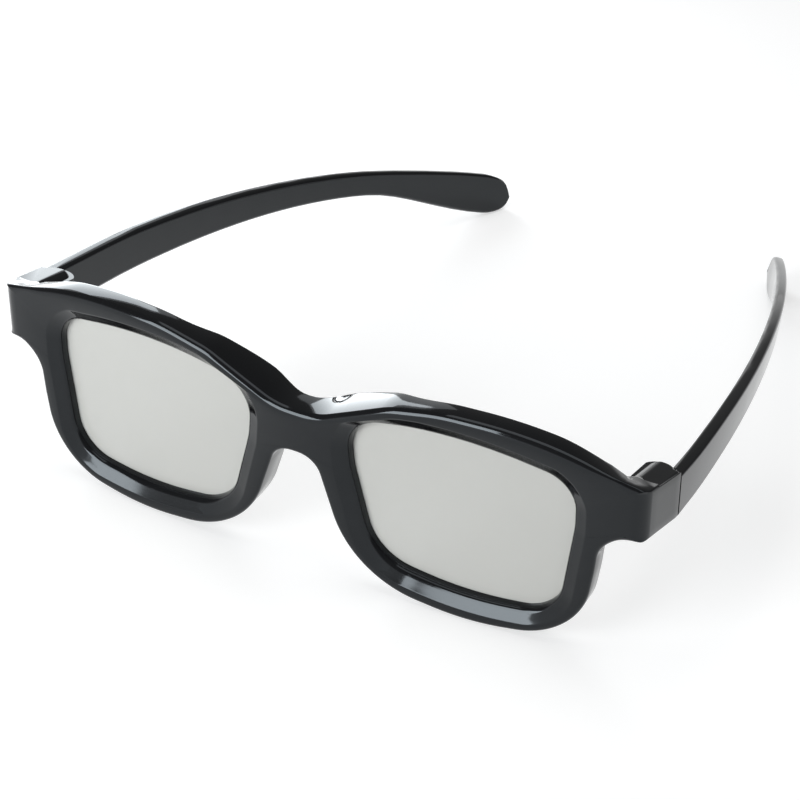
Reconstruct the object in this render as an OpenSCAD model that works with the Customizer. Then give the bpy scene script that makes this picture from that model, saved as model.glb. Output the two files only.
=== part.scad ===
// Passive polarised 3D glasses: a one-piece moulded front, two laminated film lenses and two folding
// temples on steel pins. Lengths are millimetres.
// The front is drawn upright: x to the side, y back towards the wearer, z up, with the edge of the
// lens openings at y = 0 on the middle plane. The whole object is then tipped to stand on its rims
// and temple tips.

/* [Front] */
// Overall width across the hinge ends
hinge_width = 146; // [138:1:156]
// Radius of the front's wrap, seen from above
wrap_radius = 430; // [300:10:900]
// Depth of the rims, front face to back face
rim_depth = 5; // [4.8:0.1:7]
// Height of the brow line above the lens datum
brow_top = 18.1; // [17:0.1:20]
// Height of the bridge's upper edge
bridge_top = 9.8; // [8:0.1:12]
// Height of the arch over the nose
nose_arch = -0.2; // [-2:0.1:1]
// Height of the lowest point of the rims
rim_bottom = -29.4; // [-33:0.1:-29]
// How far the back of the bridge swells behind the rims
bridge_swell = 3; // [2:0.1:4]
// Half of the width over which the bridge swells
swell_reach = 24; // [20:1:28]
// Radius of the front's upright outer corners
corner_radius = 2.6; // [1.5:0.1:3.2]

/* [Lens openings] */
// Gap between the two lens openings
bridge_width = 21.4; // [19:0.1:24]
// Width of each lens opening
opening_width = 47.4; // [44:0.1:49]
// Height of the lens opening above the datum
opening_top = 13.4; // [12:0.1:13.8]
// Depth of the lens opening below the datum
opening_drop = 24.4; // [22:0.1:25]
// Width of the dished bevel round each opening
bevel_width = 3.1; // [2.5:0.1:3.6]
// Depth of the dished bevel
bevel_depth = 2.6; // [2:0.1:2.8]
// Width of the steep inner part of the bevel
roll_width = 0.5; // [0.3:0.1:0.8]
// Depth of the steep inner part of the bevel
roll_depth = 1.2; // [0.8:0.1:1.4]
// Depth of the plain wall behind the bevel
lip_depth = 0.8; // [0.5:0.1:1.2]
// How far the lens seat reaches past the opening
seat_width = 1.9; // [1.4:0.1:2.2]

/* [Lens films] */
// Thickness of the quarter-wave retarder film at the front
retarder_thickness = 0.14; // [0.1:0.01:0.2]
// Thickness of the cover film in front of the polariser
cover_thickness = 0.2; // [0.1:0.01:0.3]
// Thickness of the polarising film
polariser_thickness = 0.1; // [0.08:0.01:0.15]
// Thickness of the backing film behind the polariser
backing_thickness = 0.26; // [0.1:0.01:0.35]
// Gap between the films and the seat they lie in
film_clearance = 0.1; // [0.05:0.01:0.2]
// Adhesive line between two films
glue_line = 0.02; // [0.01:0.01:0.03]

/* [Nose pads] */
// How far the moulded nose pads stand out behind the rims
pad_depth = 2; // [1.5:0.1:5]
// Angle at which the pads flare towards the nose
pad_flare = 5; // [0:1:14]
// Thickness of the pads
pad_thickness = 2.5; // [2:0.1:2.8]

/* [Hinges] */
// Height of the front's hinge ends
end_height = 10.5; // [9.6:0.1:12]
// Length of the hinge ends, front face to parting line
end_reach = 14.6; // [13:0.1:17]
// Outward flare of the hinge ends along their length
end_flare = 1; // [0.5:0.1:1.5]
// Wall thickness left round the hinge ends' hollows
end_wall = 1.6; // [1.2:0.1:2]
// Chamfer along the outer upper edge of the hinge ends
end_chamfer = 0.6; // [0.3:0.1:0.9]
// Downward angle of the temples, measured from square to the lenses
temple_tilt = 14; // [10:0.5:16]
// Inward lean of the hinge axes, which takes a folded temple below the opposite hinge
hinge_cant = 2.5; // [0:0.5:3]
// Distance from the hinge axis in to the parting line
axis_setback = 1.7; // [1.5:0.1:2]
// Distance from the hinge axis out to the temple's outer face
axis_inset = 4.3; // [4.1:0.1:4.8]
// Radius of the round hinge lugs
lug_radius = 3.4; // [3:0.1:3.5]
// Radius of the temple's hinge knuckle
knuckle_radius = 2.6; // [2.2:0.1:2.8]
// Height of the temple's hinge knuckle
knuckle_height = 3.6; // [3:0.1:4]
// Radius of the hinge pin
pin_radius = 0.75; // [0.6:0.05:0.9]
// Radial running clearance of the knuckle on its pin
pin_clearance = 0.05; // [0.03:0.01:0.08]
// Gap between the faces that turn past each other
hinge_gap = 0.2; // [0.15:0.05:0.3]

/* [Temples] */
// Length of a temple behind its hinge axis
temple_length = 158; // [140:1:165]
// Height of a temple at the hinge
temple_height = 9.7; // [9:0.1:10.5]
// Height of a temple at its waist, in front of the ear
waist_height = 6; // [5.5:0.1:8]
// Height of a temple's paddle end
paddle_height = 10.4; // [8:0.1:11]
// Thickness of a temple at the hinge
temple_thickness = 3; // [2.7:0.1:3.2]
// Thickness of a temple at its tip
tip_thickness = 2.5; // [2:0.1:3]
// Radius of a temple's inward curve, seen from above
temple_bow = 410; // [350:10:700]
// Inward angle of a temple as it leaves the hinge
temple_toe = 2; // [1:0.5:5]
// Radius of a temple's downward curve, seen from the side
temple_arch = 1530; // [1200:10:2400]
// Distance of the curve's crest behind the hinge axis
arch_crest = 80; // [60:1:100]
// How far the tip of a temple droops below that curve
tip_droop = 11.3; // [8:0.1:14]
// Width of the bevel along a temple's inner edges
temple_bevel = 0.9; // [0.5:0.1:1.1]

/* [Gate mark] */
// Radius of the round moulding mark on the bridge
gate_radius = 1.9; // [1.2:0.1:2.2]
// Depth of the moulding mark
gate_depth = 0.3; // [0.2:0.05:0.5]

/* [Hidden] */
$fn = 64;

// Longest step along the rounded corners of an outline
arc_step = 1.5;
// Facets of the large cylinders that bend the front
wrap_facets = 720;
// Sections along a temple, more closely spaced at its rounded tip
temple_sections = 30;
tip_sections = 7;
// Length of the cutting and bounding bodies, well past the front
reach = 3 * (brow_top - rim_bottom);
depth_reach = 6 * rim_depth;

moulding_colour = [0.11, 0.11, 0.12];
film_colour = [0.78, 0.79, 0.76, 0.45];
polariser_colour = [0.55, 0.56, 0.54, 0.6];
pin_colour = "silver";

face_y = -bevel_depth;
back_y = rim_depth - bevel_depth;
end_y = end_reach - bevel_depth;

nasal_x = bridge_width / 2;
temporal_x = nasal_x + opening_width;
end_x = hinge_width / 2 - end_flare;
lens_middle = (nasal_x + temporal_x) / 2;

// The hinge ends' upper and lower edges at the front face
end_bottom = 0.5;
end_top = end_bottom + end_height;
end_middle = (end_top + end_bottom) / 2;

// Lens opening: corner points with the radius that rounds each one.
// The nasal side leans outwards and the outer side leans inwards on the way down.
nasal_lean = 5;
temporal_lean = 2.6;
nasal_side = nasal_x + 1;
temporal_side = temporal_x - 0.3;
opening_corners = [
    [nasal_x + 0.1, opening_top - 2.2, 8.6],
    [lens_middle + 0.2, opening_top + 1.1, 78],
    [temporal_x - 0.4, opening_top - 3.6, 7.6],
    [temporal_side, -0.3, 20],
    [temporal_side - temporal_lean, 1.3 - opening_drop, 8.8],
    [lens_middle + 1.9, -0.3 - opening_drop, 71],
    [nasal_side + nasal_lean, 3.1 - opening_drop, 11.8],
    [nasal_side, -0.9, 20]];

// Half of the front's outline, from the top of the bridge round to the nose arch
rim_side = temporal_x + 4.6;
brow_inner = [lens_middle - 3.5, brow_top + 1.3];
brow_outer = [lens_middle + 15, brow_top + 1.5];
nose_x = 4.4;
nose_foot = [nasal_x + 1.8, rim_bottom + 3.1];
front_corners = [
    [0, bridge_top, 0],
    [4.5, bridge_top, 14],
    [nasal_x + 9.3, brow_top - 0.9, 14],
    [brow_inner.x, brow_inner.y, 38],
    [brow_outer.x, brow_outer.y, 74],
    [end_x, end_top, 0.8],
    [end_x, end_bottom, 0.8],
    [rim_side + 0.9, end_bottom, 6.9],
    [rim_side, -10, 40],
    [rim_side - 2.3, rim_bottom + 2.4, 16.4],
    [lens_middle + 3.4, rim_bottom - 0.5, 56],
    [nose_foot.x, nose_foot.y, 22.6],
    [nose_x, nose_arch, 5],
    [0, nose_arch, 0]];

function unit(v) = v / norm(v);
function clamp(v) = min(1, max(0, v));
function smooth(a, b, v) = let (t = clamp((v - a) / (b - a))) t * t * (3 - 2 * t);
function mix(a, b, t) = a + (b - a) * t;
function wrap(x) = wrap_radius - sqrt(wrap_radius * wrap_radius - x * x);
function join(lists) = [for (l = lists) each l];
function extreme_low(points, axis) = min([for (p = points) p[axis]]);
function extreme_high(points, axis) = max([for (p = points) p[axis]]);

// One corner of an outline, rounded by an arc
function corner_arc(before, corner, after) =
    let (p = [corner[0], corner[1]], r = corner[2],
         d0 = unit([before[0], before[1]] - p), d1 = unit([after[0], after[1]] - p),
         half = acos(d0 * d1) / 2, start = p + d0 * r / tan(half),
         centre = p + unit(d0 + d1) * r / sin(half),
         first = atan2(start.y - centre.y, start.x - centre.x),
         turn = (180 - 2 * half) * sign(cross(d1, d0)),
         steps = max(2, ceil(abs(turn) * PI / 180 * r / arc_step)))
    [for (k = [0:steps]) centre + r * [cos(first + turn * k / steps), sin(first + turn * k / steps)]];

function rounded(corners, closed) =
    let (n = len(corners))
    join([for (i = [0:n - 1])
        !closed && (i == 0 || i == n - 1) ? [[corners[i][0], corners[i][1]]]
        : corner_arc(corners[(i + n - 1) % n], corners[i], corners[(i + 1) % n])]);

half_line = rounded(front_corners, false);
front_line = concat(half_line,
    [for (i = [len(half_line) - 2:-1:1]) [-half_line[i].x, half_line[i].y]]);
opening_line = rounded(opening_corners, true);
opening_count = len(opening_line);
// Outward direction at each point of the opening, and the opening grown by a width
opening_out = [for (i = [0:opening_count - 1])
    let (t = unit(opening_line[(i + 1) % opening_count] - opening_line[(i + opening_count - 1) % opening_count]))
    [-t.y, t.x]];
function grown(width) = [for (i = [0:opening_count - 1]) opening_line[i] + width * opening_out[i]];
// The same line bent to the wrap, at a depth behind the datum
function bent(line, y) = [for (p = line) [p.x, y + wrap(p.x), p.y]];
function quad(a, b, c, d) = [[a, b, c], [a, c, d]];

// Hinge axis in the front's frame
end_face = wrap(end_x) + face_y;
hinge_back = end_reach - axis_setback;
hinge = [hinge_width / 2 - axis_inset, end_face + hinge_back, end_middle - tan(temple_tilt) * hinge_back];
slab_height = end_height * cos(temple_tilt);
slot_height = knuckle_height + 2 * hinge_gap;
pin_top = slab_height / 2 - end_wall;

// Outline of a temple, seen from the side and from above, in the hinge's own frame
temple_start = axis_setback + hinge_gap;
temple_run = temple_length - temple_start;
tip_round = 8;
waist_place = 0.7;
paddle_place = 0.94;
function temple_top(y) =
    temple_height / 2 + (pow(arch_crest, 2) - pow(y - arch_crest, 2)) / (2 * temple_arch)
        - tip_droop * pow(y / temple_length, 3);
function temple_full_height(y) =
    let (s = (y - temple_start) / temple_run)
    s < waist_place ? mix(temple_height, waist_height, smooth(0, waist_place, s))
    : mix(waist_height, paddle_height, smooth(waist_place, paddle_place, s));
function temple_outer(y) =
    axis_inset - tan(temple_toe) * (y - temple_start) - pow(y - temple_start, 2) / (2 * temple_bow);
// Share of the height that is left inside the rounded tip
function tip_share(y) = let (t = clamp((y - temple_length + tip_round) / tip_round)) sqrt(1.001 - t * t);
temple_places = concat(
    [for (k = [0:temple_sections]) mix(temple_start, temple_length - tip_round, k / temple_sections)],
    [for (k = [1:tip_sections]) temple_length - tip_round * (1 - sin(90 * k / tip_sections))]);

// Section of a temple: flat outer face, bevelled inner face
function temple_section(y) =
    let (h = temple_full_height(y), left = h * tip_share(y), low = 0.55 * (h - left),
         top = temple_top(y) - 0.45 * (h - left), bottom = temple_top(y) - h + low,
         s = (y - temple_start) / temple_run, t = mix(temple_thickness, tip_thickness, s),
         b = min(temple_bevel, 0.3 * left), r = min(0.5, 0.2 * left), o = temple_outer(y), i = o - t)
    [[o, y, bottom + r], [o, y, top - r], [o - 0.3 * r, y, top - 0.3 * r], [o - r, y, top],
     [i + b, y, top], [i + 0.3 * b, y, top - 0.3 * b], [i, y, top - b],
     [i, y, bottom + b], [i + 0.3 * b, y, bottom + 0.3 * b], [i + b, y, bottom],
     [o - r, y, bottom], [o - 0.3 * r, y, bottom + 0.3 * r]];
temple_rings = [for (y = temple_places) temple_section(y)];
temple_points = join(temple_rings);
temple_ring = len(temple_rings[0]);
temple_faces = concat(
    join([for (i = [0:len(temple_rings) - 2], j = [0:temple_ring - 1])
        let (j2 = (j + 1) % temple_ring)
        quad(i * temple_ring + j, i * temple_ring + j2, (i + 1) * temple_ring + j2, (i + 1) * temple_ring + j)]),
    [[for (j = [temple_ring - 1:-1:0]) j]],
    [[for (j = [0:temple_ring - 1]) len(temple_points) - temple_ring + j]]);

// Standing position: tip the object until rims and temple tips touch the ground together
function tipped(p, a) = [p.x, p.y * cos(a) - p.z * sin(a), p.y * sin(a) + p.z * cos(a)];
temple_in_front = [for (p = temple_points) tipped(p, -temple_tilt) + hinge];
rim_points = concat(bent(half_line, face_y), bent(half_line, back_y));
function lowest(points, a) =
    let (turned = [for (p = points) tipped(p, a)], low = extreme_low(turned, 2))
    [for (p = turned) if (p.z == low) p][0];
function stand_angle(a, rounds) =
    rounds == 0 ? a
    : let (rim = lowest(rim_points, a), tip = lowest(temple_in_front, a))
      stand_angle(a - atan2(tip.z - rim.z, tip.y - rim.y), rounds - 1);
tip_angle = stand_angle(0, 4);
standing = [for (p = concat(rim_points, temple_in_front)) tipped(p, tip_angle)];
stand_shift = [0, -(extreme_low(standing, 1) + extreme_high(standing, 1)) / 2, -extreme_low(standing, 2)];

module stand() {
    translate(stand_shift) rotate([tip_angle, 0, 0]) children();
}

// Children drawn for the side at +x, kept there or mirrored to the other side
module on_side(side) {
    if (side == "left") children();
    else mirror([1, 0, 0]) children();
}

// Frame of a temple, square to its slope, and frame of the hinge pin, which leans inwards
module at_temple() {
    translate(hinge) rotate([-temple_tilt, 0, 0]) children();
}

module at_hinge() {
    at_temple() rotate([0, -hinge_cant, 0]) children();
}

// A wall bent to the wrap, between two depths behind the datum
module bent_wall(near, far) {
    translate([0, wrap_radius, -reach / 2]) difference() {
        cylinder(r = wrap_radius - near, h = reach, $fn = wrap_facets);
        translate([0, 0, -1]) cylinder(r = wrap_radius - far, h = reach + 2, $fn = wrap_facets);
    }
}

// An outline carried straight through the front
module through(line) {
    translate([0, depth_reach, 0]) rotate([90, 0, 0]) linear_extrude(2 * depth_reach) polygon(line);
}

// Cutter for the dished bevel: a steep inner part, then an even slope to the front face.
// It is a little longer than the bevel at both ends.
module bevel_cutter() {
    over = 0.15;
    slope = (bevel_depth - roll_depth) / (bevel_width - roll_width);
    run = (1 + over) * bevel_width;
    rings = [bent(grown(-over * roll_width), over * roll_depth),
             bent(grown(roll_width), -roll_depth),
             bent(grown(run), -roll_depth - slope * (run - roll_width))];
    middles = [for (k = [0, 2]) [lens_middle, rings[k][0].y + (k == 0 ? 0 : -2), 0]];
    n = opening_count;
    polyhedron(concat(join(rings), middles), join([for (i = [0:n - 1])
        let (i2 = (i + 1) % n)
        concat(quad(i, i2, n + i2, n + i), quad(n + i, n + i2, 2 * n + i2, 2 * n + i),
               [[i2, i, 3 * n], [2 * n + i, 2 * n + i2, 3 * n + 1]])]), convexity = 4);
}

// Plan of a hinge end: the outer side flares back from the front's corner
module hinge_end_plan() {
    inner = hinge.x - lug_radius;
    blend = 4;
    back = wrap(inner) + back_y;
    far = 1.5;
    difference() {
        polygon([[end_x, end_face], [end_x + far * end_flare, end_face + far * end_reach],
                 [inner, end_face + far * end_reach], [inner, back + blend], [inner - blend, back + blend],
                 [inner - blend, back - 1], [inner, end_face + 1]]);
        translate([inner - blend, back + blend]) circle(blend);
    }
}

module hinge_end() {
    intersection() {
        translate([0, 0, -reach / 2]) linear_extrude(reach) hinge_end_plan();
        at_hinge() translate([0, 0, -slab_height / 2]) linear_extrude(slab_height) {
            circle(lug_radius);
            translate([-2 * lug_radius - 2, -2 * end_reach]) square([4 * lug_radius, 2 * end_reach]);
            square([2 * lug_radius, axis_setback]);
        }
    }
}

// Space in which the temple's knuckle turns, open to the inside and to the back
module knuckle_slot() {
    turn = knuckle_radius + hinge_gap;
    translate([0, 0, -slot_height / 2]) linear_extrude(slot_height) {
        circle(turn);
        translate([-2 * lug_radius, 0]) square([2 * lug_radius + axis_inset, 2 * lug_radius]);
        translate([-2 * lug_radius, -turn]) square([2 * lug_radius, 2 * turn]);
    }
}

// Hollow moulded into the inner side of a hinge end, in front of its lugs
module core_hollow() {
    front = -hinge_back + rim_depth + end_wall;
    rear = -knuckle_radius - hinge_gap - end_wall;
    height = slab_height - 2 * end_wall;
    translate([-3 * lug_radius, front, -height / 2])
        cube([3 * lug_radius + axis_inset - end_flare - end_wall, rear - front, height]);
}

// The top of a hinge end turns gradually from level to the temple's slope.
// The cutter's lower face follows it; rows run across the front and behind it.
module end_top_cutter() {
    rise = (brow_outer.y - end_top) / (end_x - brow_outer.x);
    rows = [[rim_side + 4, 0], [end_x, 1], [end_x + 6, 1]];
    near = -2;
    far = end_reach + 8;
    edges = [for (r = rows, y = [near, far])
        [r[0], wrap(r[0]) + face_y + y, end_top + (end_x - r[0]) * rise - tan(temple_tilt) * y * r[1]]];
    tall = 15;
    polyhedron(concat(edges, [for (p = edges) [p.x, p.y, p.z + tall]]),
        [[0, 2, 1], [1, 2, 3], [2, 4, 3], [3, 4, 5],
         [6, 7, 8], [7, 9, 8], [8, 9, 10], [9, 11, 10],
         [0, 6, 8], [0, 8, 2], [2, 8, 10], [2, 10, 4], [4, 10, 11], [4, 11, 5],
         [5, 11, 9], [5, 9, 3], [3, 9, 7], [3, 7, 1], [1, 7, 6], [1, 6, 0]], convexity = 4);
}

// Sliver cut away to round the upright front corner of a hinge end
module corner_cutter() {
    corner = [end_x, end_face];
    along = unit([1, end_x / wrap_radius]);
    side = unit([end_flare, end_reach]);
    half = acos(-along * side) / 2;
    centre = corner + unit(side - along) * corner_radius / sin(half);
    run = corner_radius / tan(half);
    translate([0, 0, -reach / 2]) linear_extrude(reach) difference() {
        polygon([corner - along * run, corner + (corner - centre), corner + side * run]);
        translate(centre) circle(corner_radius);
    }
}

// Bar laid along the outer upper edge of a hinge end to chamfer it
module end_edge_cutter() {
    side = end_chamfer * sqrt(2);
    at_hinge() translate([axis_inset, axis_setback, slab_height / 2])
        rotate([0, 0, -atan(end_flare / end_reach)]) rotate([0, 45, 0])
            cube([side, 4 * end_reach, side], center = true);
}

// Swell on the back of the bridge, rounded from side to side and sloping in under the bridge
module bridge_back() {
    drop = bridge_swell - wrap(swell_reach);
    round = (swell_reach * swell_reach + drop * drop) / (2 * drop);
    intersection() {
        through(front_line);
        bent_wall(0, back_y + rim_depth);
        translate([0, back_y + bridge_swell - round, -reach / 2]) cylinder(r = round, h = reach);
        translate([0, back_y, nose_arch]) rotate([45, 0, 0])
            translate([-reach / 2, -reach / 2, 0]) cube(reach);
    }
}

// Pad on the back of the nasal rim: a rounded wing that flares towards the nose
module nose_pad() {
    high = 2.5;
    low = 19.5;
    along = unit(nose_foot - [nose_x, nose_arch]);
    inward = [-along.y, along.x];
    top = [nose_x, nose_arch] + along * high;
    foot = [nose_x, nose_arch] + along * low;
    round = ((low - high) * (low - high) / 4 + pad_depth * pad_depth) / (2 * pad_depth);
    middle = (top + foot) / 2;
    root = wrap(middle.x) + back_y;
    intersection() {
        translate([middle.x, root, middle.y]) rotate([0, 0, pad_flare]) rotate([-90, 0, 0])
            translate([0, 0, -1.5]) linear_extrude(pad_depth + 3)
                polygon([for (p = [top, foot, foot + inward * pad_thickness, top + inward * pad_thickness])
                    [p.x - middle.x, middle.y - p.y]]);
        translate([0, root + pad_depth - round, middle.y]) rotate([0, 90, 0]) cylinder(r = round, h = reach);
    }
}

module gate_mark() {
    slope = atan2(brow_top - bridge_top, nasal_x + 6.8);
    translate([6.6, 0.8, bridge_top + 1.3]) rotate([0, -slope, 0])
        translate([0, 0, -gate_depth]) cylinder(r = gate_radius, h = 3);
}

// What one side's half of the front has cut out of it
module side_cuts() {
    through(opening_line);
    intersection() {
        bent_wall(lip_depth, back_y + rim_depth);
        through(grown(seat_width));
    }
    bevel_cutter();
    end_top_cutter();
    corner_cutter();
    end_edge_cutter();
    at_hinge() {
        knuckle_slot();
        core_hollow();
        translate([0, 0, -end_height]) cylinder(r = pin_radius, h = end_height + pin_top);
    }
}

module front_frame() {
    color(moulding_colour) stand() difference() {
        union() {
            intersection() {
                bent_wall(face_y, back_y);
                through(front_line);
            }
            bridge_back();
            for (side = ["left", "right"]) on_side(side) {
                hinge_end();
                nose_pad();
            }
        }
        for (side = ["left", "right"]) on_side(side) side_cuts();
        gate_mark();
    }
}

// A film bent to the front's wrap, at a depth behind the seat's floor
module film(side, depth, thickness) {
    near = lip_depth + film_clearance / 2 + depth;
    stand() on_side(side) intersection() {
        bent_wall(near, near + thickness);
        through(grown(seat_width - film_clearance));
    }
}

cover_at = retarder_thickness + glue_line;
polariser_at = cover_at + cover_thickness + glue_line;
backing_at = polariser_at + polariser_thickness + glue_line;

module retarder_film(side) {
    color(film_colour) film(side, 0, retarder_thickness);
}

module cover_film(side) {
    color(film_colour) film(side, cover_at, cover_thickness);
}

module polariser_film(side) {
    color(polariser_colour) film(side, polariser_at, polariser_thickness);
}

module backing_film(side) {
    color(film_colour) film(side, backing_at, backing_thickness);
}

module hinge_pin(side) {
    seat = 0.01;
    low = -slab_height / 2 + 0.4;
    color(pin_colour) stand() on_side(side) at_hinge()
        translate([0, 0, low]) cylinder(r = pin_radius - seat, h = pin_top - low - 0.1);
}

// Knuckle that turns between the lugs, with its web to the temple
module knuckle() {
    inner = axis_inset - temple_thickness;
    skin = axis_inset - temple_thickness / 3;
    web = 4;
    translate([0, 0, -knuckle_height / 2]) linear_extrude(knuckle_height) {
        circle(knuckle_radius);
        polygon([[0, 0], [knuckle_radius, 0], [skin, temple_start + 0.2], [skin, temple_start + web],
                 [inner, temple_start + web], [-knuckle_radius, 0]]);
    }
}

module temple(side) {
    relief = lug_radius + hinge_gap;
    ledge = slot_height / 2 - hinge_gap;
    color(moulding_colour) stand() on_side(side) difference() {
        union() {
            difference() {
                at_temple() polyhedron(temple_points, temple_faces, convexity = 4);
                at_hinge() {
                    translate([0, 0, ledge]) cylinder(r = relief, h = end_height);
                    translate([0, 0, -ledge - end_height]) cylinder(r = relief, h = end_height);
                }
            }
            at_hinge() knuckle();
        }
        at_hinge() translate([0, 0, -knuckle_height])
            cylinder(r = pin_radius + pin_clearance, h = 2 * knuckle_height);
    }
}

front_frame();
retarder_film("left");  // left_retarder_film
cover_film("left");  // left_cover_film
polariser_film("left");  // left_polariser_film
backing_film("left");  // left_backing_film
retarder_film("right");  // right_retarder_film
cover_film("right");  // right_cover_film
polariser_film("right");  // right_polariser_film
backing_film("right");  // right_backing_film
hinge_pin("left");  // left_hinge_pin
hinge_pin("right");  // right_hinge_pin
temple("left");  // left_temple
temple("right");  // right_temple
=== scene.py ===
# %% [markdown]
# # Passive 3D glasses
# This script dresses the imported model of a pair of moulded 3D glasses. The solids give the sizes
# and the joints; here the front gets its soft moulded edges, the lenses become one tinted sheet
# each, and every surface gets a material. Blender works in metres, in the frame of the solids. The
# front is drawn in millimetres and scaled when it is put in place.

# %% Load the frame
import math

import bmesh
import bpy
from mathutils import Euler, Matrix, Vector


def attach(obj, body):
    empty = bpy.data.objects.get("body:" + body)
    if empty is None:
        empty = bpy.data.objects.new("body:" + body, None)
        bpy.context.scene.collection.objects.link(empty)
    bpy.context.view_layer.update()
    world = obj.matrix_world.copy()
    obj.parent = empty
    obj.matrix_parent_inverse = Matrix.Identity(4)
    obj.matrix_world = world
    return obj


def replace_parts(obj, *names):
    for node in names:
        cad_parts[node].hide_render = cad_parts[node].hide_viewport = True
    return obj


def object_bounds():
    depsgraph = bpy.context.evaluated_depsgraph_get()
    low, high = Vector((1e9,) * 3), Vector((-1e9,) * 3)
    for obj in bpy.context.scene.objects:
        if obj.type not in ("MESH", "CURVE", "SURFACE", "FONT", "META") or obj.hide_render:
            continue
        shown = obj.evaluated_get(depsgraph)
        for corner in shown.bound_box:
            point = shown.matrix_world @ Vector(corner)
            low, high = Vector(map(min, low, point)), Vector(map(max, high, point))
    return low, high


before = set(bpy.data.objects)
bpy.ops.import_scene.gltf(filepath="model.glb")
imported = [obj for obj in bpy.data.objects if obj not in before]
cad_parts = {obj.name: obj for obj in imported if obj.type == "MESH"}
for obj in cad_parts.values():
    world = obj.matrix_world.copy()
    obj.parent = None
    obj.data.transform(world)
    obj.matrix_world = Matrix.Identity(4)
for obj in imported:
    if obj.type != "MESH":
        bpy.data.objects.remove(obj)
cad_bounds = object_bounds()
scene = bpy.context.scene
MM = 0.001
print("nodes:", sorted(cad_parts))

# %% [markdown]
# ## Camera
# The camera repeats the photograph's view: a long lens, turned and tipped down at the front. Its
# place was found once from the mirror symmetry of the two sides and is written as a position and
# three turns.

# %% Camera
cam_data = bpy.data.cameras.new("camera")
cam_data.lens = 121.22
cam_data.sensor_width = 36.0
cam_data.clip_start = 0.01
camera = bpy.data.objects.new("camera", cam_data)
camera.location = (0.21352, -0.48090, 0.30731)
camera.rotation_euler = Euler([math.radians(a) for a in (59.359, -3.545, 27.956)], "XYZ")
scene.collection.objects.link(camera)
scene.camera = camera
print("camera:", cam_data.lens, "mm lens,", round(camera.location.length, 3), "m from the origin")

# %% [markdown]
# ## Outlines of the front
# The front is drawn upright in its own frame, in millimetres: x to the side, y back, z up. An
# outline is a short list of corner points, each with the radius that rounds it. `rounded` turns the
# corners into arcs and `divided` splits what is left into short steps.

# %% Outline helpers
def clamp(v):
    return min(1.0, max(0.0, v))


def smooth(a, b, v):
    """0 at a, 1 at b, and a soft S between them."""
    t = clamp((v - a) / (b - a))
    return t * t * (3 - 2 * t)


def mix(a, b, t):
    return a + (b - a) * t


def corner_arc(before, corner, after, step):
    """Points of the arc that rounds one corner."""
    p, r = Vector(corner[:2]), corner[2]
    d0 = (Vector(before[:2]) - p).normalized()
    d1 = (Vector(after[:2]) - p).normalized()
    half = d0.angle(d1) / 2
    start = p + d0 * r / math.tan(half)
    centre = p + (d0 + d1).normalized() * r / math.sin(half)
    first = math.atan2(start.y - centre.y, start.x - centre.x)
    turn = math.copysign(math.pi - 2 * half, d1.x * d0.y - d1.y * d0.x)
    n = max(4, math.ceil(abs(turn) * r / step))
    angles = [first + turn * k / n for k in range(n + 1)]
    return [centre + r * Vector((math.cos(a), math.sin(a))) for a in angles]


def rounded(corners, closed, step):
    """A line through the corners, each rounded by its own radius."""
    n, line = len(corners), []
    for i, c in enumerate(corners):
        if not closed and i in (0, n - 1):
            line.append(Vector(c[:2]))
        else:
            line += corner_arc(corners[i - 1], c, corners[(i + 1) % n], step)
    return line


def divided(line, step):
    """The same line with no step longer than this one."""
    out = []
    for a, b in zip(line, line[1:]):
        n = max(1, math.ceil((b - a).length / step))
        out += [a.lerp(b, k / n) for k in range(n)]
    return out + [line[-1]]


# %% [markdown]
# ## Sizes
# Most of these are the sizes of the solids, repeated because this script reads only the packed
# frame. The radii of the edges and the higher, steeper top of the hinge ends belong to this script.

# %% Sizes of the front
HINGE_WIDTH, WRAP = 146.0, 430.0
RIM_DEPTH, BEVEL_DEPTH, BEVEL_WIDTH = 5.0, 2.6, 3.1
LIP, SEAT = 0.8, 1.9
BRIDGE_TOP, NOSE_ARCH, BROW_TOP, RIM_BOTTOM = 9.8, -0.2, 18.1, -29.4
NASAL, TEMPORAL = 10.7, 58.1
OPEN_TOP, OPEN_DROP = 13.4, 24.4
END_HEIGHT, END_BOTTOM, END_REACH, END_FLARE, END_WALL = 10.5, 0.5, 14.6, 1.0, 1.4
PAD_DEPTH, PAD_FLARE = 2.0, 0.2
TILT = math.radians(14.0)
SLOPE = math.tan(TILT)
EDGE, TOP_EDGE, CORNER = 0.7, 1.5, 2.6
RISE, FALL = 1.5, math.tan(math.radians(15.9))

FACE, BACK = -BEVEL_DEPTH, RIM_DEPTH - BEVEL_DEPTH
END = END_REACH - BEVEL_DEPTH
END_X, END_TOP = HINGE_WIDTH / 2 - END_FLARE, END_BOTTOM + END_HEIGHT
TOP = END_TOP + RISE
MIDDLE = (NASAL + TEMPORAL) / 2
SIDE = TEMPORAL + 4.6
CENTRE = Vector((MIDDLE, -5.0))
# How the drawing frame stands on the ground: tipped back, then lifted and moved
TIP = math.radians(6.93482)
STAND = Matrix.Translation((0, -83.612, 29.2861)) @ Matrix.Rotation(TIP, 4, "X")
TO_ROW = Matrix.Scale(MM, 4) @ STAND
print("hinge ends:", END_X, "mm from the middle; top at", TOP, "mm")

# %% [markdown]
# ## The two lines of the drawing
# One closed line is the lens opening. The other is half of the outer outline, from the top of the
# bridge round the brow, the hinge end and the rim to the nose arch. Each corner is x, z and a radius.

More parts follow.
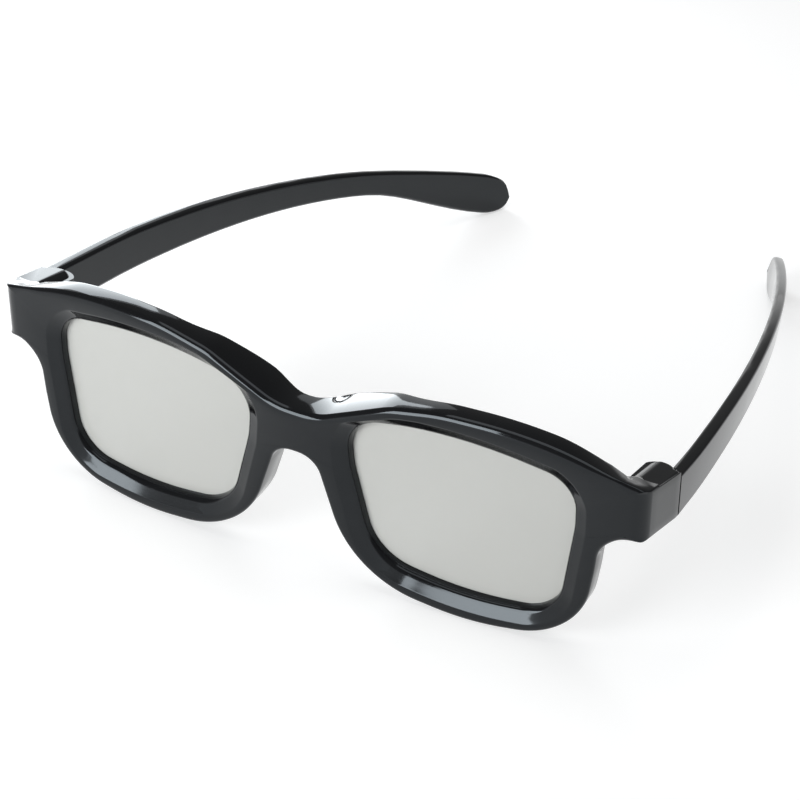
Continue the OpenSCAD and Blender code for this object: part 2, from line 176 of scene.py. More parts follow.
# %% Opening and outline
opening = rounded([
    (NASAL + 0.1, OPEN_TOP - 2.2, 8.6), (MIDDLE + 0.2, OPEN_TOP + 1.1, 78),
    (TEMPORAL - 0.4, OPEN_TOP - 3.6, 7.6), (TEMPORAL - 0.3, -0.3, 20),
    (TEMPORAL - 2.9, 1.3 - OPEN_DROP, 8.8), (MIDDLE + 1.9, -0.3 - OPEN_DROP, 71),
    (NASAL + 6, 3.1 - OPEN_DROP, 11.8), (NASAL + 1, -0.9, 20)], True, 0.6)
half_outline = divided(rounded([
    (0, BRIDGE_TOP, 0), (4.5, BRIDGE_TOP, 14), (NASAL + 9.3, BROW_TOP - 0.9, 14),
    (MIDDLE - 3.5, BROW_TOP + 1.3, 38), (MIDDLE + 15, BROW_TOP + 1.5, 74),
    (END_X, TOP, 0.8), (END_X, END_BOTTOM, 0.8), (SIDE + 0.9, END_BOTTOM, 6.9),
    (SIDE, -10, 40), (SIDE - 2.3, RIM_BOTTOM + 2.4, 16.4), (MIDDLE + 3.4, RIM_BOTTOM - 0.5, 56),
    (NASAL + 1.8, RIM_BOTTOM + 3.1, 22.6), (4.4, NOSE_ARCH, 5),
    (0, NOSE_ARCH, 0)], False, 0.9), 1.6)
print("outline points:", len(half_outline), "opening points:", len(opening))

# %% [markdown]
# ## Where the sections stand
# The moulding is drawn as sections that run from the outline in to the lens opening, like the spokes
# of a wheel. Most start at a point of the outline, and a few start up the middle of the bridge. Each
# aims at the centre of the opening; the angles are evened out so that spokes neither bunch nor cross.

# %% Spokes
LEVELS = 7
bridge_levels = [mix(NOSE_ARCH + EDGE, BRIDGE_TOP - EDGE, k / LEVELS) for k in range(1, LEVELS)]
stations = half_outline + [Vector((0, z)) for z in bridge_levels]
outline_count, count = len(half_outline), len(half_outline) + len(bridge_levels)


def reach(u):
    """Distance from the lens centre to the opening's edge, along u."""
    best = 0.0
    for i, b in enumerate(opening):
        a, b = opening[i - 1] - CENTRE, b - CENTRE
        ca, cb = u.x * a.y - u.y * a.x, u.x * b.y - u.y * b.x
        if ca * cb <= 0 and ca != cb:
            best = max(best, a.lerp(b, ca / (ca - cb)).dot(u))
    return best


def outward(i):
    """Direction out of the moulding at a station."""
    if i >= outline_count:
        return Vector((-1, 0))
    if i in (0, outline_count - 1):
        return Vector((0, 1 if i == 0 else -1))
    t = (stations[i + 1] - stations[i - 1]).normalized()
    return Vector((-t.y, t.x))


def evened(angles, passes):
    """Unwrap a ring of angles and even out their steps."""
    ring = [angles[0]]
    for a in angles[1:]:
        ring.append(ring[-1] + (a - ring[-1] + math.pi) % (2 * math.pi) - math.pi)
    turn = math.copysign(2 * math.pi, ring[-1] - ring[0])
    for _ in range(passes):
        before, after = [ring[-1] - turn] + ring[:-1], ring[1:] + [ring[0] + turn]
        ring = [a / 2 + (b + c) / 4 for a, b, c in zip(ring, before, after)]
    return ring


bearings = [math.atan2(s.y - CENTRE.y, s.x - CENTRE.x) for s in stations]
aims = [Vector((math.cos(a), math.sin(a))) for a in evened(bearings, passes=14)]
inner = [CENTRE + u * reach(u) for u in aims]
rays = [(s - p).normalized() for s, p in zip(stations, inner)]
print("sections:", count)


# %% [markdown]
# ## Bending the drawing
# The real front is wrapped round the face, and its hinge ends slope down and flare out to the back.
# A finished flat mesh could be bent afterwards, but the corners would then bend with it. Here every
# point of the drawing goes straight to its bent place: `placed` takes a point and a depth.

# %% Bent places
def wrap(x):
    """How far back the wrap carries the front at x."""
    return WRAP - math.sqrt(WRAP * WRAP - x * x)


CORNER_Y = wrap(END_X) + FACE
# Where the brow begins to fall to the back, and where it passes into the hinge end's sloping top
BROW_FALL, END_JOIN = (SIDE - 10, SIDE + 4), (SIDE + 0.5, SIDE + 6)
# The rear edge of that top, just under the plate that covers the hinge
LID_EDGE, LID_DIP = (6.0, 6.6), 0.3


def end_plane(y):
    """Top of the hinge end: a plane that falls to the back."""
    return TOP - FALL * (y - CORNER_Y)


def placed(q, y):
    """A point of the drawing at depth y, with the hinge ends sloping down and flaring out."""
    behind = max(0.0, y - FACE)
    away = y + wrap(q.x)
    upper = q.y - FALL * behind * smooth(*BROW_FALL, q.x)
    join = smooth(*END_JOIN, q.x) * smooth(0.4, 6.0, behind) * smooth(TOP - 0.5, TOP - 0.1, q.y)
    upper = mix(upper, end_plane(away) - LID_DIP * smooth(*LID_EDGE, away - CORNER_Y), join)
    lower = q.y - SLOPE * behind * smooth(SIDE - 1, SIDE + 2, q.x) * smooth(-8, 0, q.y)
    flare = END_FLARE * clamp((q.x - SIDE) / (END_X - SIDE)) * behind / END_REACH
    return Vector((q.x + flare, away, mix(lower, upper, smooth(3, 8, q.y))))


def back_at(q):
    """Depth of the rear face: level behind the rims, swollen on both sides of the bridge."""
    swell = 1.6 + 2.3 * smooth(0, 9, q.x) - 3.9 * smooth(8, 30, q.x)
    return BACK + max(0.0, min(swell, q.y - NOSE_ARCH))


print("the wrap carries the hinge ends back by", round(wrap(END_X), 2), "mm")

# %% [markdown]
# ## Sections of the moulding
# Each section goes round the moulding: up the inner wall, over the dished bevel, across the face,
# round the outer edge, along the side, and back over the rear face to the lens seat. At the hinge
# ends the side runs on to the back, so the same points are spread over a longer wall there.

# %% One section
# Places on the dished bevel, as shares of its width and depth: a steep roll, then an even slope
DISH = ((0.05, 0.20), (0.11, 0.37), (0.18, 0.475), (0.3, 0.55),
        (0.6, 0.735), (0.9, 0.92), (0.98, 0.975), (1.05, 1.0))
EDGE_TURNS = [math.radians(d) for d in (8, 30, 55, 80, 90)]


def stretch(i):
    """How much longer a width square to the opening is along the section."""
    t = (inner[(i + 1) % count] - inner[i - 1]).normalized()
    return 1 / max(0.6, rays[i].dot(Vector((-t.y, t.x))))


def section(i):
    """The points of one section, in three parts: front, side and rear."""
    o, n, u, mid = stations[i], outward(i), rays[i], i >= outline_count
    # How far this section belongs to a hinge end, and to a nose pad
    begin = SIDE + mix(0.9, 3.3, clamp(2 * n.y))
    end = smooth(begin, begin + 2, o.x) * smooth(END_BOTTOM - 1.5, END_BOTTOM - 0.5, o.y)
    pad = 0 if o.x > MIDDLE else smooth(NOSE_ARCH - 1, NOSE_ARCH - 6, o.y) * smooth(-21, -12, o.y)
    lean = n * PAD_FLARE * pad
    # The outer edge: softer along the top, and softest down the hinge end's front corner
    e = 0 if mid else EDGE
    fade = 1 - 0.8 * smooth(END_X - 12, END_X - 6, o.x)
    soft_top = mix(EDGE, TOP_EDGE, smooth(0.5, 0.9, n.y) * fade)
    deep = 0 if mid else mix(mix(EDGE, soft_top, 0.6), CORNER, end * max(0, n.x) ** 2)
    squeeze = CORNER * end * clamp((o.x - END_X + 6) / 6)
    inset = max(n.x * EDGE, squeeze) if n.x > -0.2 else n.x * EDGE
    back_off = Vector((inset, n.y * soft_top)) * (0 if mid else 1)
    # The bevel narrows where there is little room between opening and outline
    room = (o - inner[i]).length
    s = stretch(i)
    w = min(BEVEL_WIDTH * s, (room - 1.3 * max(1.4 * EDGE, soft_top)) / DISH[-1][0])
    # The rear: behind the rims, or at the far end of a hinge end
    back = back_at(o) + PAD_DEPTH * pad
    lid = smooth(0.75, 0.98, n.y) * end
    far = mix(back, mix(END, CORNER_Y + LID_EDGE[1] - wrap(o.x), lid), end)
    soft = e * (1 - lid) / max(1.0, far - FACE - deep)
    seat = inner[i] + u * SEAT * s
    root = o - n * (1.5 if mid else mix(2.6 * e, END_WALL + 0.3, end))

    def wall(start, finish, y, share):
        """A point of the side: near the back edge, or some share of the way along a hinge end."""
        point = o + lean - n * mix(start, finish, end) * e
        return placed(point, mix(y, mix(FACE + deep, far, share), end))

    front_part = [placed(inner[i], LIP), placed(inner[i], 0.12), placed(inner[i] + u * 0.04, -0.1)]
    front_part += [placed(inner[i] + u * w * a, FACE * b) for a, b in DISH]
    side_part = [placed(o - back_off * 1.25, FACE)]
    side_part += [placed(o - back_off * (1 - math.sin(a)), FACE + deep * (1 - math.cos(a)))
                  for a in EDGE_TURNS]
    side_part += [wall(0, 0, back - e, 0.2), wall(0.3, 0, back - 0.3 * e, 0.4),
                  wall(1, 0, back, 0.6), wall(1.2, 0, back, 0.8), wall(1.4, 0, back, 0.9),
                  wall(1.6, 0.1, back, 1 - 0.15 * soft), wall(1.8, 0.4, back, 1),
                  wall(2.1, END_WALL / EDGE, back, 1)]
    rear_part = [placed(root, back_at(root)), placed(seat, back_at(seat)), placed(seat, LIP)]
    return front_part, side_part, rear_part


parts = [section(i) for i in range(count)]
sections = [a + b + c for a, b, c in parts]
ring_size = len(sections[0])
print("points in each section:", ring_size)


# %% [markdown]
# ## From mesh to piece
# Every piece ends in the same way. Its normals are turned outwards, faces are shaded smooth, and
# edges that turn more than a given angle stay sharp. Then it rides on a body of the model. On pieces
# with large flat faces, weighted normals leave the turn to the small faces.

# %% Finish a piece
def finish_piece(bm, name, body, angle):
    bmesh.ops.recalc_face_normals(bm, faces=bm.faces)
    for f in bm.faces:
        f.smooth = True
    for e in bm.edges:
        e.smooth = len(e.link_faces) == 2 and e.calc_face_angle(0) < math.radians(angle)
    mesh = bpy.data.meshes.new(name)
    bm.to_mesh(mesh)
    print(name, len(bm.faces), "faces")
    bm.free()
    piece = bpy.data.objects.new(name, mesh)
    scene.collection.objects.link(piece)
    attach(piece, body)
    return piece


def even_normals(piece):
    """Large faces keep their own shading and the small rounded ones carry the turn."""
    normals = piece.modifiers.new("weighted_normals", "WEIGHTED_NORMAL")
    normals.keep_sharp = True
    return piece


# %% [markdown]
# ## The front moulding
# The rims, bridge and hinge ends are one injection moulding. One closed line of edges is drawn along
# the opening's inner edge and extruded again and again: each new row of points is moved to the next
# place of its section. The last row is bridged to the first, which closes the ring.

# %% Extrude half of the front
# Rows of faces that lie in the middle plane at the bridge
SIDE_FIRST = len(parts[0][0])
SIDE_LAST = SIDE_FIRST + len(parts[0][1]) - 1
bm = bmesh.new()
first = [bm.verts.new(TO_ROW @ sections[i][0]) for i in range(count)]
row = [bm.edges.new((first[i], first[(i + 1) % count])) for i in range(count)]
start_row, line = row, first
middle_faces = []
for j in range(1, ring_size):
    made = bmesh.ops.extrude_edge_only(bm, edges=row)["geom"]
    fresh = {v for v in made if isinstance(v, bmesh.types.BMVert)}
    nxt = []
    for v in line:
        nxt.append(next(e.other_vert(v) for e in v.link_edges if e.other_vert(v) in fresh))
    for i, v in enumerate(nxt):
        v.co = TO_ROW @ sections[i][j]
    row = [e for e in made if isinstance(e, bmesh.types.BMEdge)
           and e.verts[0] in fresh and e.verts[1] in fresh]
    if SIDE_FIRST < j <= SIDE_LAST:
        for i in range(outline_count - 1, count):
            edge = bm.edges.get((line[i], line[(i + 1) % count]))
            middle_faces += [f for f in edge.link_faces if nxt[i] in f.verts]
    line = nxt
bmesh.ops.bridge_loops(bm, edges=row + start_row)
print("half of the front:", len(bm.faces), "faces")

# %% [markdown]
# ## Both halves of the front
# The faces in the middle plane would become a wall inside the bridge, so they are removed before the
# half is mirrored and its two sides are merged along the middle.

# %% Mirror the front
middle_faces += [f for f in bm.faces if all(abs(v.co.x) < 1e-6 for v in f.verts)]
bmesh.ops.delete(bm, geom=list(dict.fromkeys(middle_faces)), context="FACES_ONLY")
bmesh.ops.delete(bm, geom=[e for e in bm.edges if not e.link_faces], context="EDGES")
bmesh.ops.delete(bm, geom=[v for v in bm.verts if not v.link_edges], context="VERTS")
bmesh.ops.mirror(bm, geom=bm.verts[:] + bm.edges[:] + bm.faces[:], axis="X", merge_dist=0.00002)
bmesh.ops.remove_doubles(bm, verts=bm.verts, dist=0.000004)
bmesh.ops.dissolve_degenerate(bm, edges=bm.edges, dist=0.000002)
print("edges without two faces:", sum(not e.is_manifold for e in bm.edges))
front = finish_piece(bm, "front_moulding", "front", 38.0)


# %% [markdown]
# ## Copies of the solids
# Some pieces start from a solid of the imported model. A copy of its mesh of loose triangles is merged
# into one surface and its flat faces are joined, so that it can be cut and shaded like any other.

# %% Copy a solid
def copy_of(solid):
    bm = bmesh.new()
    bm.from_mesh(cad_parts[solid].data)
    bmesh.ops.transform(bm, matrix=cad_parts[solid].matrix_world, verts=bm.verts)
    bmesh.ops.remove_doubles(bm, verts=bm.verts, dist=0.000002)
    bmesh.ops.dissolve_limit(bm, angle_limit=math.radians(0.5), verts=bm.verts, edges=bm.edges)
    return bm


# %% [markdown]
# ## Temples
# Each temple is a long moulded blade with a paddle that drops behind the ear. It could be drawn anew,
# but its solid already has the right curve. The copy's points are only moved a little: the tip is made
# fuller and blunter, the front end stands upright at the parting, and the middle is a little higher.

# %% Temples
TIP_ZONE, TIP_LENGTH, TIP_FULLNESS = 6 * MM, 5 * MM, 0.6
BLUNT_LENGTH, BLUNT_SHIFT, BLUNT_REACH = 1.6 * MM, 0.8 * MM, (-40, -6)
HINGE, HINGE_Z = Vector((68.7, 16.3708)), 2.534
PARTING, PARTING_SLACK, PARTING_Y, WEB = 1.9, 0.03, 18.25, 72.3
BLADE_START, BLADE_RISE, BLADE_UP, BLADE_DOWN = -0.0655, 0.5 * MM, (6, 30), (100, 135)


def fuller_tip(v, tip, mid, half):
    """Fill the corners of the last few millimetres and flatten the very end."""
    along, up = (v.co.y - tip + TIP_LENGTH) / TIP_LENGTH, (v.co.z - mid) / half
    if along > 0:
        turn = math.atan2(abs(up), along)
        grow = (math.cos(turn) ** 3 + math.sin(turn) ** 3) ** (-1 / 3)
        v.co.y += TIP_LENGTH * along * (grow - 1) * TIP_FULLNESS
        v.co.z += half * up * (grow - 1) * TIP_FULLNESS
    blunt = clamp((v.co.y - tip) / BLUNT_LENGTH + 1)
    v.co.y += BLUNT_SHIFT * (smooth(*BLUNT_REACH, (v.co.y - tip) / MM) - blunt ** 2)


def upright_end(v):
    """Stand the front end upright, parallel to the end of the hinge block."""
    f = TO_ROW.inverted() @ v.co
    along = (f.y - HINGE.y) * math.cos(TILT) - (f.z - HINGE_Z) * math.sin(TILT)
    gap = PARTING_Y - f.y
    if abs(along - PARTING) < PARTING_SLACK and (gap > 0 or abs(f.x) > WEB):
        v.co = TO_ROW @ (f + Vector((0, gap, -gap * SLOPE)))


def higher_middle(v):
    """Lift the middle of the blade and leave its two ends where they are."""
    behind = (v.co.y - BLADE_START) / MM
    v.co.z += BLADE_RISE * smooth(*BLADE_UP, behind) * (1 - smooth(*BLADE_DOWN, behind))


temples = []
for side in ("left", "right"):
    bm = copy_of(f"{side}_temple")
    tip = max(v.co.y for v in bm.verts)
    heights = [v.co.z for v in bm.verts if v.co.y > tip - TIP_ZONE]
    mid, half = (max(heights) + min(heights)) / 2, (max(heights) - min(heights)) / 2
    for v in bm.verts:
        fuller_tip(v, tip, mid, half)
        upright_end(v)
        higher_middle(v)
    piece = finish_piece(bm, f"{side}_temple_shell", f"{side}_arm", 50.0)
    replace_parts(even_normals(piece), f"{side}_temple")
    temples.append(piece)

# %% [markdown]
# ## Inside of the hinge ends
# From behind, each hinge end is a hollow with two lugs that hold the pin. The drawn front has only the
# outer walls there, so the inside is cut out of a copy of the front's solid with a few planes. They
# stop short of the walls, which cover the cuts.

# %% Inside of the hinge ends
TURN = STAND.to_3x3()
# A point and an outward direction of each plane, for the left side: the side towards the lens, the
# front, the top, the bottom, the outer wall, and the rear corner next to the temple
HOLLOW = (((SIDE + 0.6, 0, 0), (-1, 0, 0)),
          ((0, wrap(END_X) + BACK - 0.6, 0), (0, -1, 0)),
          ((END_X, CORNER_Y, END_TOP + 0.01), (0, SLOPE, 1)),
          ((END_X, CORNER_Y, END_BOTTOM + 0.2), (0, -SLOPE, -1)),
          ((END_X - 0.3, CORNER_Y, 0), (1, -END_FLARE / END_REACH, 0)),
          ((END_X - 0.5, PARTING_Y - 0.2, 0), (1, 1, 0)))
hinges = []
for side, sign in (("left", 1), ("right", -1)):
    bm = copy_of("front_frame")
    for point, normal in HOLLOW:
        p, n = Vector(point), Vector(normal)
        p.x, n.x = p.x * sign, n.x * sign
        bmesh.ops.bisect_plane(bm, geom=bm.verts[:] + bm.edges[:] + bm.faces[:], dist=1e-7,
                               plane_co=TO_ROW @ p, plane_no=TURN @ n, clear_outer=True)
        bmesh.ops.holes_fill(bm, edges=[e for e in bm.edges if e.is_boundary], sides=0)
    piece = finish_piece(bm, f"{side}_hinge_end", "front", 35.0)
    hinges.append(even_normals(piece))
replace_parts(front, "front_frame")

# %% [markdown]
# ## Caps of the hinge ends
# The top of each hinge end is a sloping plate with a round back, the upper lug of the hinge. It starts
# as a disc: the front half of its rim is drawn forward under the brow and its outer side is carried out
# to the wall. The disc is cut into strips towards the inner side, so that the plate can roll off there,
# then thickened, and its upper edge is rounded with a bevel.

# %% Caps
LUG, LUG_STEPS = 3.4, 48
PLATE_FRONT, PLATE_DEPTH, PLATE_EDGE = 5.3, RISE + 1.0, 0.0006
# The part of the rim that goes out to the wall, as an angle, and the turn that reaches the rear corner
WALL_PART, WALL_TURN, WALL_INSET = math.radians(29), math.radians(23), 0.15
REAR_CORNER = END - FACE - 0.1 + CORNER_Y - HINGE.y
ROLL, ROLL_DROP = (-0.3, -0.8, -1.3, -1.8, -2.3, -2.8), 0.21
caps = []
for side, sign in (("left", 1), ("right", -1)):
    bm = bmesh.new()
    bmesh.ops.create_circle(bm, cap_ends=True, cap_tris=False, segments=LUG_STEPS, radius=LUG)
    for v in bm.verts:
        if v.co.y < -0.01:
            v.co.y = CORNER_Y + PLATE_FRONT - HINGE.y
        around = math.atan2(v.co.y, v.co.x)
        if v.co.x > 0 and around < WALL_PART:
            v.co.y = min(v.co.y, REAR_CORNER * around / WALL_TURN)
            flare = END_FLARE * (HINGE.y + v.co.y - CORNER_Y) / END_REACH
            v.co.x = END_X - WALL_INSET + flare - HINGE.x
    for x in ROLL:
        bmesh.ops.bisect_plane(bm, geom=bm.verts[:] + bm.edges[:] + bm.faces[:], dist=1e-6,
                               plane_co=(x, 0, 0), plane_no=(1, 0, 0))
    made = bmesh.ops.extrude_face_region(bm, geom=bm.faces[:])["geom"]
    upper = {v for v in made if isinstance(v, bmesh.types.BMVert)}
    for v in bm.verts:
        drop = ROLL_DROP * max(0.0, ROLL[0] - v.co.x) ** 2 if v in upper else PLATE_DEPTH
        level = end_plane(HINGE.y + v.co.y) - drop
        v.co = TO_ROW @ Vector((sign * (HINGE.x + v.co.x), HINGE.y + v.co.y, level))
    bmesh.ops.recalc_face_normals(bm, faces=bm.faces)
    plate = {f for f in bm.faces if all(v in upper for v in f.verts)}
    rim = [e for e in bm.edges if sum(f in plate for f in e.link_faces) == 1]
    bmesh.ops.bevel(bm, geom=rim, offset=PLATE_EDGE, offset_type="OFFSET", segments=3,
                    profile=0.5, affect="EDGES", material=-1)
    piece = finish_piece(bm, f"{side}_hinge_cap", "front", 50.0)
    caps.append(even_normals(piece))

# %% [markdown]
# ## Lenses
# Each real lens is a laminate of four thin films. Four see-through sheets so close together would make
# noisy shade, so one sheet stands for all of them: a copy of the front film, with the tint of the four.

# %% Lenses
FILMS = ("retarder_film", "cover_film", "polariser_film", "backing_film")
lenses = []
for side in ("left", "right"):
    bm = copy_of(f"{side}_retarder_film")
    piece = finish_piece(bm, f"{side}_lens", "front", 30.0)
    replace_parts(piece, *[f"{side}_{f}" for f in FILMS])
    lenses.append(piece)

# %% [markdown]
# ## Handling marks
# The finishes are made of shader nodes. Marks that come with handling, such as fine scratches and
# smears, are on every part of the object, so they are one node group that each finish uses with its own
# strength. Scratches are a noise stretched along one direction; smears are a slow, broad noise.

# %% Handling marks
def node(tree, kind, x, y, inputs=(), **settings):
    """A new node with its settings and the values of its sockets."""
    n = tree.nodes.new(kind)
    n.location = (x, y)
    for key, value in settings.items():
        setattr(n, key, value)
    for key, value in dict(inputs).items():
        n.inputs[key].default_value = value
    return n


marks = bpy.data.node_groups.new("handling_marks", "ShaderNodeTree")
for name, default in (("Scale", 900.0), ("Scratches", 0.3), ("Smears", 0.3)):
    socket = marks.interface.new_socket(name, in_out="INPUT", socket_type="NodeSocketFloat")
    socket.default_value = default
for name in ("Mask", "Height"):
    marks.interface.new_socket(name, in_out="OUTPUT", socket_type="NodeSocketFloat")
inp, out = node(marks, "NodeGroupInput", -900, 0), node(marks, "NodeGroupOutput", 500, 0)
place = node(marks, "ShaderNodeTexCoord", -900, -250)
turn = node(marks, "ShaderNodeMapping", -700, -250,
            {"Rotation": (0.4, 0.7, 0.5), "Scale": (1.0, 0.04, 1.0)})
hair = node(marks, "ShaderNodeTexNoise", -500, -200, {"Detail": 3.0})
thin = node(marks, "ShaderNodeMapRange", -300, -200, {"From Min": 0.62, "From Max": 0.74})
smear = node(marks, "ShaderNodeTexNoise", -500, 150, {"Scale": 70.0, "Detail": 4.0})
spread = node(marks, "ShaderNodeMapRange", -300, 150, {"From Min": 0.35, "From Max": 0.75})
fine = node(marks, "ShaderNodeMath", -100, -200, operation="MULTIPLY")
wide = node(marks, "ShaderNodeMath", -100, 150, operation="MULTIPLY")
both = node(marks, "ShaderNodeMath", 120, 0, operation="ADD", use_clamp=True)
link = marks.links.new
link(place.outputs["Object"], turn.inputs["Vector"])
link(turn.outputs["Vector"], hair.inputs["Vector"])
link(inp.outputs["Scale"], hair.inputs["Scale"])
link(hair.outputs["Fac"], thin.inputs["Value"])
link(place.outputs["Object"], smear.inputs["Vector"])
link(smear.outputs["Fac"], spread.inputs["Value"])
link(thin.outputs["Result"], fine.inputs[0])
link(inp.outputs["Scratches"], fine.inputs[1])
link(spread.outputs["Result"], wide.inputs[0])
link(inp.outputs["Smears"], wide.inputs[1])
link(fine.outputs["Value"], both.inputs[0])
link(wide.outputs["Value"], both.inputs[1])
link(both.outputs["Value"], out.inputs["Mask"])
link(fine.outputs["Value"], out.inputs["Height"])
print("group:", marks.name, len(marks.nodes), "nodes")


# %% [markdown]
# ## A finish with handling marks
# A finish could be one colour and one roughness, but real plastic that is handled is duller where it is
# marked. The group's mask mixes a clean and a worn colour and moves the roughness between two values.

# %% Worn finish
def worn_finish(name, clean, worn, rough, scale, scratches, smears, **values):
    """A surface whose colour and roughness go from clean to worn where the marks are."""
    mat = bpy.data.materials.new(name)
    mat.use_nodes = True
    tree = mat.node_tree
    shader = tree.nodes["Principled BSDF"]
    for key, value in values.items():
        shader.inputs[key.replace("_", " ")].default_value = value
    group = node(tree, "ShaderNodeGroup", -700, 0, node_tree=marks,
                 inputs={"Scale": scale, "Scratches": scratches, "Smears": smears})
    colour = node(tree, "ShaderNodeMix", -400, 200, data_type="RGBA",
                  inputs={"A": (*clean, 1), "B": (*worn, 1)})
    gloss = node(tree, "ShaderNodeMapRange", -400, -100, {"To Min": rough[0], "To Max": rough[1]})
    tree.links.new(group.outputs["Mask"], colour.inputs["Factor"])
    tree.links.new(group.outputs["Mask"], gloss.inputs["Value"])
    tree.links.new(colour.outputs["Result"], shader.inputs["Base Color"])
    tree.links.new(gloss.outputs["Result"], shader.inputs["Roughness"])
    return mat, shader, group


# %% [markdown]
# ## Relief of the moulding
# A polished moulding is never quite flat, and its highlights waver a little. A slow noise in a Bump
# node gives that. The same chain of bumps cuts a fine ring into the bridge, where the plastic flowed
# into the mould and the gate was trimmed off.

# %% Waves and gate mark
RELIEF = 0.0004
SCRATCH_DEPTH = -0.04


def waviness(tree, shader, group, scale, strength):
    """Slow waves of the moulded surface, with the scratches cut into it."""
    place = node(tree, "ShaderNodeTexCoord", -1100, -400)
    wave = node(tree, "ShaderNodeTexNoise", -900, -400, {"Scale": scale, "Detail": 2.0})
    cut = node(tree, "ShaderNodeMath", -650, -400, {1: SCRATCH_DEPTH}, operation="MULTIPLY_ADD")
    bump = node(tree, "ShaderNodeBump", -300, -400, {"Strength": strength, "Distance": RELIEF})
    tree.links.new(place.outputs["Object"], wave.inputs["Vector"])
    tree.links.new(group.outputs["Height"], cut.inputs[0])
    tree.links.new(wave.outputs["Fac"], cut.inputs[2])
    tree.links.new(cut.outputs["Value"], bump.inputs["Height"])
    tree.links.new(bump.outputs["Normal"], shader.inputs["Normal"])
    return bump


def gate_ring(tree, bump, centre, radius):
    """A fine round groove where the moulding's gate was trimmed."""
    place = node(tree, "ShaderNodeTexCoord", -1300, -700)
    gap = node(tree, "ShaderNodeVectorMath", -1100, -700, {1: centre}, operation="DISTANCE")
    off = node(tree, "ShaderNodeMath", -900, -700, {1: radius}, operation="SUBTRACT")
    size = node(tree, "ShaderNodeMath", -750, -700, operation="ABSOLUTE")
    groove = node(tree, "ShaderNodeMapRange", -600, -700, {"From Max": RELIEF},
                  interpolation_type="SMOOTHSTEP")
    ring = node(tree, "ShaderNodeBump", -450, -700, {"Strength": 1.0, "Distance": RELIEF})
    tree.links.new(place.outputs["Object"], gap.inputs[0])
    tree.links.new(gap.outputs["Value"], off.inputs[0])
    tree.links.new(off.outputs["Value"], size.inputs[0])
    tree.links.new(size.outputs["Value"], groove.inputs["Value"])
    tree.links.new(groove.outputs["Result"], ring.inputs["Height"])
    tree.links.new(ring.outputs["Normal"], bump.inputs["Normal"])


# %% [markdown]
# ## Finishes
# Three finishes dress the object: polished black plastic for the mouldings, a grey see-through film for
# the lenses, and drawn steel for the hidden pins. The lens lets light through by its alpha, which is
# plain and quiet for a sheet this thin, where glass would bend the light.

# %% Finishes
GATE, GATE_RADIUS = TO_ROW @ Vector((6.9, 4.8, 11.3)), 0.0019
# The bluish Specular Tint is a painted reflection colour: it turns every reflection on the black
# plastic a little blue, standing in for bluish light in the room.
black, shader, group = worn_finish(
    "black_plastic", clean=(0.004, 0.004, 0.0045), worn=(0.009, 0.009, 0.01), rough=(0.05, 0.2),
    scale=900, scratches=0.35, smears=0.3, IOR=1.39, Specular_Tint=(0.86, 0.94, 1.0, 1.0))
waves = waviness(black.node_tree, shader, group, scale=60, strength=0.05)
gate_ring(black.node_tree, waves, GATE, GATE_RADIUS)
film, _, _ = worn_finish(
    "lens_film", clean=(0.462, 0.462, 0.436), worn=(0.482, 0.482, 0.458), rough=(0.06, 0.2),
    scale=500, scratches=0.15, smears=0.3, IOR=1.48, Alpha=0.68)
steel, _, _ = worn_finish(
    "pin_steel", clean=(0.6, 0.6, 0.61), worn=(0.42, 0.42, 0.43), rough=(0.25, 0.45),
    scale=2000, scratches=0.8, smears=0.4, Metallic=1.0)
mouldings = [front] + temples + hinges + caps
for piece, mat in [(p, black) for p in mouldings] + [(p, film) for p in lenses]:
    piece.data.materials.clear()
    piece.data.materials.append(mat)
for side in ("left", "right"):
    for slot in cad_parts[f"{side}_hinge_pin"].material_slots:
        slot.material = steel
print("finishes:", black.name, film.name, steel.name)

# %% [markdown]
# ## Table
# The glasses stand on a plain white table that runs out of the picture. Lighting it to pure white would
# wash out the object, so Light Path adds a glow where the table is seen as background, directly or in a
# reflection, and the table still keeps the soft shadow.

# %% Table
bm = bmesh.new()
bmesh.ops.create_grid(bm, x_segments=2, y_segments=2, size=3.0)
floor_mesh = bpy.data.meshes.new("floor")
bm.to_mesh(floor_mesh)
bm.free()
floor = bpy.data.objects.new("floor", floor_mesh)
floor.location.z = cad_bounds[0][2] - 0.0001
scene.collection.objects.link(floor)

GLOW = 0.53
floor_mat = bpy.data.materials.new("table_white")
floor_mat.use_nodes = True
tree = floor_mat.node_tree
shader = tree.nodes["Principled BSDF"]
shader.inputs["Base Color"].default_value = (0.6, 0.6, 0.6, 1)
shader.inputs["Roughness"].default_value = 0.9
shader.inputs["Specular IOR Level"].default_value = 0.1
shader.inputs["Emission Color"].default_value = (1, 1, 1, 1)
path = node(tree, "ShaderNodeLightPath", -900, -200)
seen = node(tree, "ShaderNodeMath", -650, -200, operation="ADD")
seen_all = node(tree, "ShaderNodeMath", -450, -200, operation="ADD", use_clamp=True)
lift = node(tree, "ShaderNodeMath", -250, -200, {1: GLOW}, operation="MULTIPLY")
tree.links.new(path.outputs["Is Camera Ray"], seen.inputs[0])
tree.links.new(path.outputs["Is Glossy Ray"], seen.inputs[1])
tree.links.new(seen.outputs["Value"], seen_all.inputs[0])
tree.links.new(path.outputs["Is Transmission Ray"], seen_all.inputs[1])
tree.links.new(seen_all.outputs["Value"], lift.inputs[0])
tree.links.new(lift.outputs["Value"], shader.inputs["Emission Strength"])
floor_mesh.materials.append(floor_mat)
print("table at", round(floor.location.z, 5), "m")

# %% [markdown]
# ## Room
# Black gloss shows the room more than its own colour. The world is white at the height of the table and
# grows dim above it, so the upright faces mirror a pale horizon and the faces that look up stay dark.

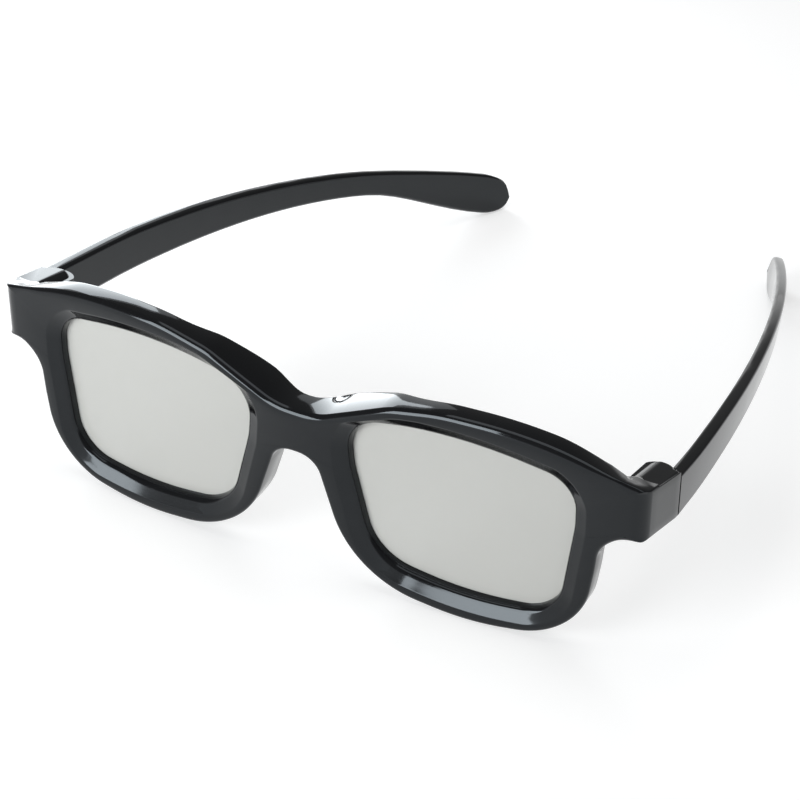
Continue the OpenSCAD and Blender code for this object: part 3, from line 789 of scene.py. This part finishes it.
# %% Room
world = bpy.data.worlds.new("room")
scene.world = world
world.use_nodes = True
tree = world.node_tree
background = tree.nodes["Background"]
background.inputs["Color"].default_value = (1, 1, 1, 1)
direction = node(tree, "ShaderNodeTexCoord", -800, 0)
split = node(tree, "ShaderNodeSeparateXYZ", -600, 0)
height = node(tree, "ShaderNodeMapRange", -400, 0, interpolation_type="SMOOTHSTEP",
              inputs={"From Min": 0.0, "From Max": 0.2, "To Min": 1.0, "To Max": 0.2})
tree.links.new(direction.outputs["Generated"], split.inputs["Vector"])
tree.links.new(split.outputs["Z"], height.inputs["Value"])
tree.links.new(height.outputs["Result"], background.inputs["Strength"])
scene.view_settings.view_transform = "Standard"
print("room:", world.name)


# %% [markdown]
# ## Lamps
# One tall soft box in front and to the left draws the bright patches on the lower bevels. A smaller one
# behind, with a faint glow round it, lights the tops of the brows, and a broad one overhead fills the
# rest. Each is given by the brightness of its face, so a box can change size and look the same.

# %% Lamps
def soft_box(name, place, aim, width, height, radiance, colour=(1, 1, 1)):
    """An area lamp of a given brightness, turned towards a point."""
    data = bpy.data.lights.new(name, "AREA")
    data.shape, data.size, data.size_y, data.color = "RECTANGLE", width, height, colour
    data.energy = radiance * math.pi * width * height
    lamp = bpy.data.objects.new(name, data)
    lamp.location = place
    lamp.rotation_euler = (Vector(aim) - Vector(place)).to_track_quat("-Z", "Y").to_euler()
    lamp.visible_camera = False
    scene.collection.objects.link(lamp)


soft_box("front_box", place=(-0.287, -0.83, 0.275), aim=(0.0, -0.08, 0.275),
         width=0.49, height=0.55, radiance=10.5, colour=(0.96, 0.985, 1.0))
soft_box("back_box", place=(-0.2375, 0.162, 0.128), aim=(-0.04, -0.08, 0.128),
         width=0.13, height=0.245, radiance=4.6, colour=(0.92, 0.97, 1.0))
soft_box("back_glow", place=(-0.30, 0.20, 0.16), aim=(-0.04, -0.08, 0.10),
         width=0.32, height=0.3, radiance=0.9, colour=(0.95, 0.98, 1.0))
soft_box("top_box", place=(0.0, -0.05, 1.0), aim=(0.0, -0.05, 0.0),
         width=0.8, height=0.8, radiance=1.7)
